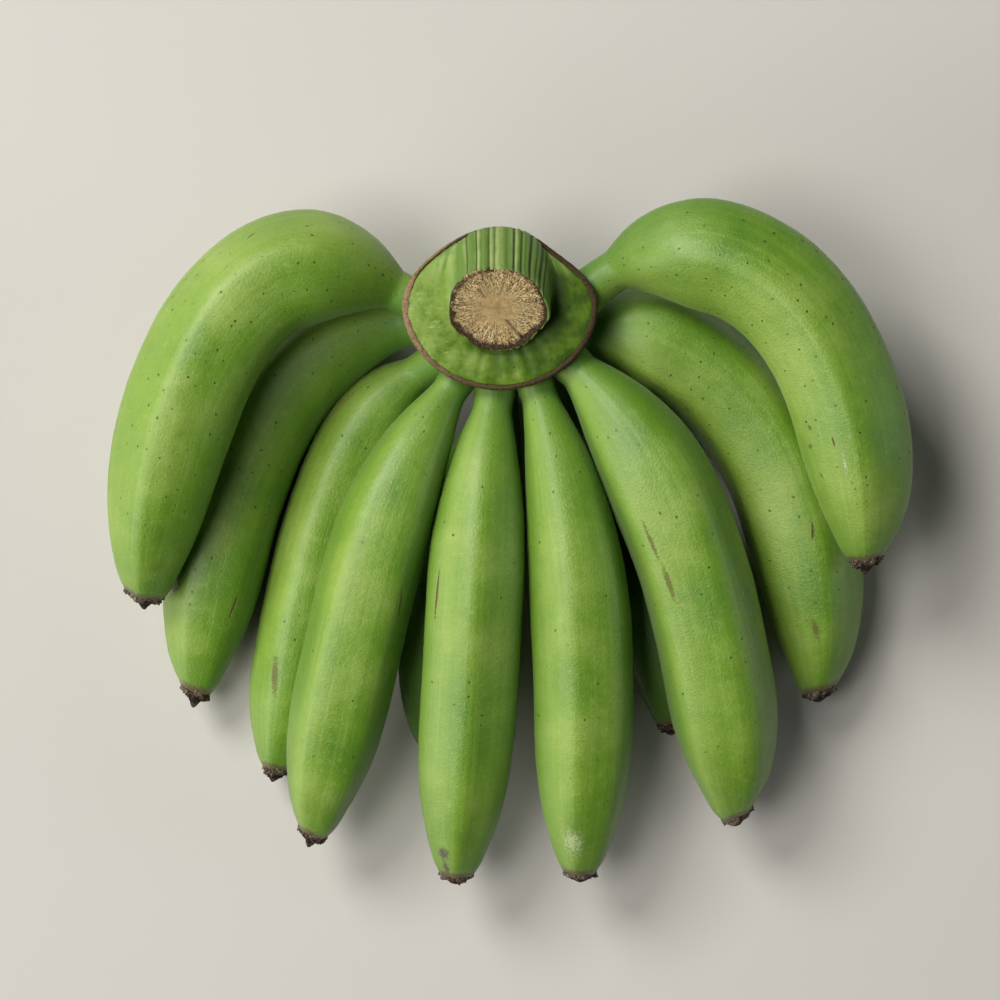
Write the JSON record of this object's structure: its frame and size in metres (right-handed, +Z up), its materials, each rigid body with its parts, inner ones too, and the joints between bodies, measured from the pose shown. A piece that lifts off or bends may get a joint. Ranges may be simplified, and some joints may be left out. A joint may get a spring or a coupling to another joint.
{
  "type": "hand of green bananas",
  "caption": "Hand of unripe green bananas: curved, softly ridged fingers fan out from one ribbed crown with a cut stalk, each ending in a dry flower remnant. Lies flat on a table.",
  "frame": {"origin": "middle of the hand's bounding box, on the surface it lies on", "axes": "+X across the hand, towards the right-hand fingers as seen in the picture; +Y from the finger tips towards the crown; +Z up, out of the hand's front side"},
  "size_m": [0.2814, 0.2408, 0.0804],
  "materials": {
    "peel": "satin green peel with a waxy bloom on its edges, fine streaks, specks and a few brown scuffs",
    "crown_skin": "dull green ribbed skin with a corky brown scar round its rim and a fibrous brown cut face",
    "dry_tissue": "rough, dry, dark brown flower remnant"
  },
  "bodies": {
    "root": {"crown": "crown_skin", "finger_left_1": "peel", "tip_left_1": "dry_tissue", "finger_left_2": "peel", "tip_left_2": "dry_tissue", "finger_left_3": "peel", "tip_left_3": "dry_tissue", "finger_left_4": "peel", "tip_left_4": "dry_tissue", "finger_centre_left": "peel", "tip_centre_left": "dry_tissue", "finger_centre_right": "peel", "tip_centre_right": "dry_tissue", "finger_right_3": "peel", "tip_right_3": "dry_tissue", "finger_right_2": "peel", "tip_right_2": "dry_tissue", "finger_right_1": "peel", "tip_right_1": "dry_tissue", "finger_back_left": "peel", "tip_back_left": "dry_tissue", "finger_back_right": "peel", "tip_back_right": "dry_tissue"}
  },
  "joints": []
}
